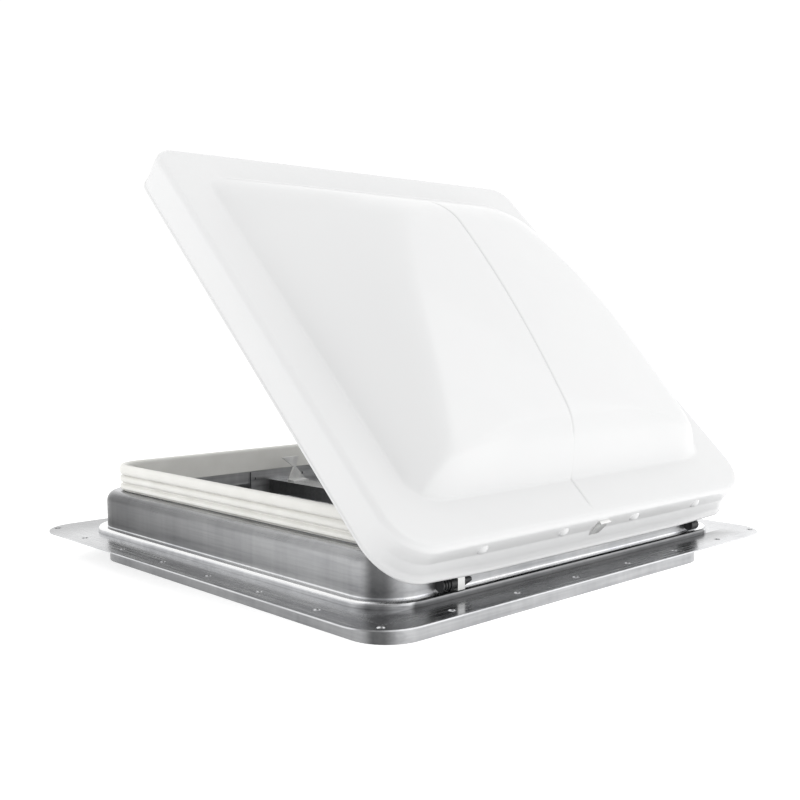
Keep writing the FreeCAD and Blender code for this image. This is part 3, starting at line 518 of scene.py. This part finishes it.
def skirt_profile():
    """Steps down the skirt, round its hem and up inside: outset, drop, share, rise, lean."""
    profile = []
    for k in range(1, 7):
        a = math.radians(15 * k)
        profile.append((EDGE_ROUND * math.sin(a), EDGE_ROUND * (1 - math.cos(a)), 0, 0, 0))
    for share in (0.2, BAND_SHARE - 0.03, BAND_SHARE):
        profile.append((EDGE_ROUND, EDGE_ROUND, share, 0, 0))
    for lean in (0.08, 0.5, 0.8):
        profile.append((EDGE_ROUND, EDGE_ROUND, mix(BAND_SHARE, 1, lean), 0, lean))
    hem = ((0.0, 2.4), (0.5, 2.0), (0.8, 1.3), (0.7, 0.5), (0.2, 0.0), (-0.5, 0.0),
           (-1.1, 0.5), (-0.9, 1.3))
    for outset, rise in hem:
        profile.append((EDGE_ROUND + outset, EDGE_ROUND, 1, rise, 1))
    for share, lean in ((0.8, 0.6), (BAND_SHARE, 0), (0, 0)):
        profile.append((EDGE_ROUND - LID_SHEET, EDGE_ROUND, share, 0, lean))
    inner = EDGE_ROUND - LID_SHEET
    for k in (4, 2):
        a = math.radians(15 * k)
        profile.append((inner * math.sin(a), LID_SHEET + inner * (1 - math.cos(a)), 0, 0, 0))
    return profile


def lid_skin(finishes):
    """The pressed lid: a grid over its top, rings round its skirt, and a grid inside."""
    half = LID_FACE - EDGE_ROUND
    u0, u1 = EDGE_ROUND, LID_DEPTH - EDGE_ROUND
    foot = DOME_SIDE_FOOT
    xs = lid_lines(-half, half, [(-foot - 1, -foot + 3), (foot - 3, foot + 1)], 7)
    seam = [SEAM_X + step for step in (-2.2, -1.3, -0.8, -0.4, 0, 0.4, 0.8, 1.3, 2.2)]
    xs = sorted([x for x in xs if abs(x - SEAM_X) > 2.8] + seam)
    us = lid_lines(u0, u1, [(DOME_NEAR_FOOT - 3, DOME_NEAR_FOOT + 25),
                            (DOME_FAR_FOOT - 2, DOME_FAR_FOOT + 2)], 6)

    points, rim = [], {}
    for layer in (0.0, LID_SHEET):
        for j, u in enumerate(us):
            for i, x in enumerate(xs):
                px, pu, a, b = rounded_place(x, u, half, u0, u1)
                groove = seam_depth(px, pu) * (1.0 if layer == 0 else SEAM_INSIDE)
                height = SKIRT_HEIGHT + dome_height(px, pu) - groove - layer
                rim[(i, j, layer)] = (len(points), px, pu, a, b)
                points.append((px, LID_Y + pu, LID_Z + height))
    faces = grid_faces(len(us), len(xs))
    count = len(us) * len(xs)
    faces += [tuple(k + count for k in reversed(face)) for face in faces]

    last_i, last_j = len(xs) - 1, len(us) - 1
    loop = [(i, 0) for i in range(last_i)] + [(last_i, j) for j in range(last_j)]
    loop += [(i, last_j) for i in range(last_i, 0, -1)] + [(0, j) for j in range(last_j, 0, -1)]
    rings = [[rim[(i, j, 0.0)][0] for i, j in loop]]
    for outset, drop, share, rise, lean in skirt_profile():
        ring = []
        for i, j in loop:
            _, px, pu, a, b = rim[(i, j, 0.0)]
            sx = math.copysign(1, px) if i in (0, last_i) else 0.0
            su = (-1 if j == 0 else 1) if j in (0, last_j) else 0.0
            if a > 0 and b > 0:
                sx, su = math.copysign(a, px), (-b if pu < (u0 + u1) / 2 else b)
            length = math.hypot(sx, su)
            sx, su = sx / length, su / length
            out = outset + BAND_FLARE * lean * max(-su, 0.0) ** 2
            height = mix(SKIRT_HEIGHT - drop, skirt_bottom(px, pu), share) + rise
            ring.append(len(points))
            points.append((px + out * sx, LID_Y + pu + out * su, LID_Z + height))
        rings.append(ring)
    rings.append([rim[(i, j, LID_SHEET)][0] for i, j in loop])
    for upper, lower in zip(rings, rings[1:]):
        for k in range(len(loop)):
            following = (k + 1) % len(loop)
            faces.append((upper[k], upper[following], lower[following], lower[k]))
    return make_piece("lid_pressed_shell", opened(points), faces, "white_paint", "lid",
                      finishes, ["lid_shell"], sharp=60.0)


# ---- gasket -------------------------------------------------------------------------------
def gasket(finishes):
    """The foam gasket folded over the rim, with soft ribs outside."""
    profile = []
    for low, high in GASKET_RIBS:
        for k in range(12):
            t = (k + 0.5) / 12
            inset = 2.5 * abs(math.cos(math.pi * t)) ** 5
            profile.append((inset, mix(low, high, t)))
    profile += [(1.35, 47.7), (0.5, 48.2), (0.1, 49.2), (0.0, 51.0), (0.1, 53.2), (0.6, 54.6),
                (1.5, 55.4), (2.6, 55.6), (4.0, 55.5), (5.2, 55.0), (6.0, 54.0), (6.3, 52.4)]
    profile += [(6.3, 45.0), (6.2, 38.0), (5.8, 35.4), (5.0, 35.0), (3.5, 35.0), (3.45, 49.9),
                (2.45, 49.9), (2.45, 34.9), (2.0, 34.8)]
    points, faces = swept_square(GASKET_HALF, GASKET_RADIUS, profile)
    return make_piece("gasket_ribbed", points, faces, "gasket_rubber", "base", finishes,
                      ["rim_gasket"], sharp=50.0)


# ---- insect screen ------------------------------------------------------------------------
def wire_mesh(finishes):
    """Woven wires, over and under each other, cut off round the crank shaft's ring."""
    low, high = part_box("screen_mesh")
    ring_low, ring_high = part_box("screen_grommet")
    middle = (low.z + high.z) / 2 / MM
    centre = (ring_low + ring_high) / 2 / MM
    hole = (ring_high.x - ring_low.x) / 2 / MM - 2.0
    half = high.x / MM - 1.0
    corner = 22.0
    count = int(2 * half / MESH_PITCH)
    start = -MESH_PITCH * (count - 1) / 2
    points, faces = [], []

    def inside(x, y):
        over = max(abs(x) - (half - corner), 0.0), max(abs(y) - (half - corner), 0.0)
        return math.hypot(*over) <= corner and math.hypot(x - centre.x, y - centre.y) >= hole

    def add_run(run, across):
        first = len(points)
        for x, y, z in run:
            for k in range(3):
                a = 2 * math.pi * k / 3
                side = WIRE_RADIUS * math.cos(a)
                lift = WIRE_RADIUS * math.sin(a)
                points.append((x + side * across[0], y + side * across[1], z + lift))
        for i in range(len(run) - 1):
            for k in range(3):
                a, b = first + 3 * i, first + 3 * (i + 1)
                faces.append((a + k, a + (k + 1) % 3, b + (k + 1) % 3, b + k))
        last = first + 3 * (len(run) - 1)
        faces.append((first, first + 1, first + 2))
        faces.append((last + 2, last + 1, last))

    for along_x in (True, False):
        for i in range(count):
            fixed = start + i * MESH_PITCH
            run = []
            for j in range(count):
                moving = start + j * MESH_PITCH
                x, y = (moving, fixed) if along_x else (fixed, moving)
                over = 1 if (i + j) % 2 == 0 else -1
                z = middle + over * (1 if along_x else -1) * WIRE_RADIUS * 0.9
                if inside(x, y):
                    run.append((x, y, z))
                elif len(run) > 1:
                    add_run(run, (0, 1) if along_x else (1, 0))
                    run = []
                else:
                    run = []
            if len(run) > 1:
                add_run(run, (0, 1) if along_x else (1, 0))
    return make_piece("screen_woven_wire", points, faces, "screen_wire", "base", finishes,
                      ["screen_mesh"], sharp=80.0)


# ---- stage --------------------------------------------------------------------------------
def add_floor(level):
    """A plain pale floor that glows, most on its bright side, and fills the view."""
    reach = 30.0
    data = bpy.data.meshes.new("floor")
    points = [(-reach, -reach, 0), (reach, -reach, 0), (reach, reach, 0), (-reach, reach, 0)]
    data.from_pydata(points, [], [(0, 1, 2, 3)])
    made, tree, shader, place = start_material(
        "lit_floor", Roughness=0.9, Specular_IOR_Level=0.1, Emission_Color=(1, 1, 1, 1))
    towards = add_node(tree, "VectorMath", {"operation": "DOT_PRODUCT"}, i0=place,
                       i1=BRIGHT_FLOOR)
    glow = ramp(tree, towards.outputs["Value"], -0.3, 0.3, FLOOR_DIM, FLOOR_BRIGHT, smooth=True)
    tree.links.new(glow, shader.inputs["Emission Strength"])
    fibre = noise(tree, place, (1, 1, 1), 40.0)
    tree.links.new(colour_between(tree, fibre, (0.5, 0.5, 0.5), (0.52, 0.52, 0.52)),
                   shader.inputs["Base Color"])
    data.materials.append(made)
    floor = bpy.data.objects.new("floor", data)
    floor.location.z = level
    bpy.context.collection.objects.link(floor)


def add_lamp(name, place, target, size, power):
    data = bpy.data.lights.new(name, "AREA")
    data.size = size
    data.energy = power
    lamp = bpy.data.objects.new(name, data)
    lamp.location = place
    lamp.rotation_euler = (Vector(target) - Vector(place)).to_track_quat("-Z", "Y").to_euler()
    lamp.visible_camera = False
    bpy.context.collection.objects.link(lamp)
    return lamp


def add_light():
    """A soft sky, brighter on one side and white down to the floor, and two lamps."""
    world = bpy.data.worlds.new("studio")
    bpy.context.scene.world = world
    world.use_nodes = True
    tree = world.node_tree
    backdrop = tree.nodes["Background"]
    backdrop.inputs["Color"].default_value = (1.0, 1.0, 1.0, 1)
    way = tree.nodes.new("ShaderNodeTexCoord").outputs["Generated"]
    towards = add_node(tree, "VectorMath", {"operation": "DOT_PRODUCT"}, i0=way, i1=BRIGHT_SIDE)
    strength = ramp(tree, towards.outputs["Value"], -1.0, 1.0, SKY_LOW, SKY_HIGH)
    height = add_node(tree, "SeparateXYZ", Vector=way).outputs[2]
    horizon = ramp(tree, height, 0.36, 0.6, HORIZON, 0.0)
    sky = math_node(tree, "MAXIMUM", strength, horizon)
    tree.links.new(sky, backdrop.inputs["Strength"])
    add_lamp("key_soft_box", (2.4, -2.4, 2.6), (0, 0, 0.1), 2.6, 11.0)
    side_fill = add_lamp("side_fill", (-0.75, 0.35, 0.5), (-0.19, 0.02, 0.24), 0.4, 2.2)
    side_fill.visible_glossy = False
    bpy.context.scene.view_settings.view_transform = "Standard"


add_camera()
finishes = make_finishes()
finish_cad_nodes(finishes)
lid_skin(finishes)
gasket(finishes)
wire_mesh(finishes)
add_floor(cad_box[0].z)
add_light()
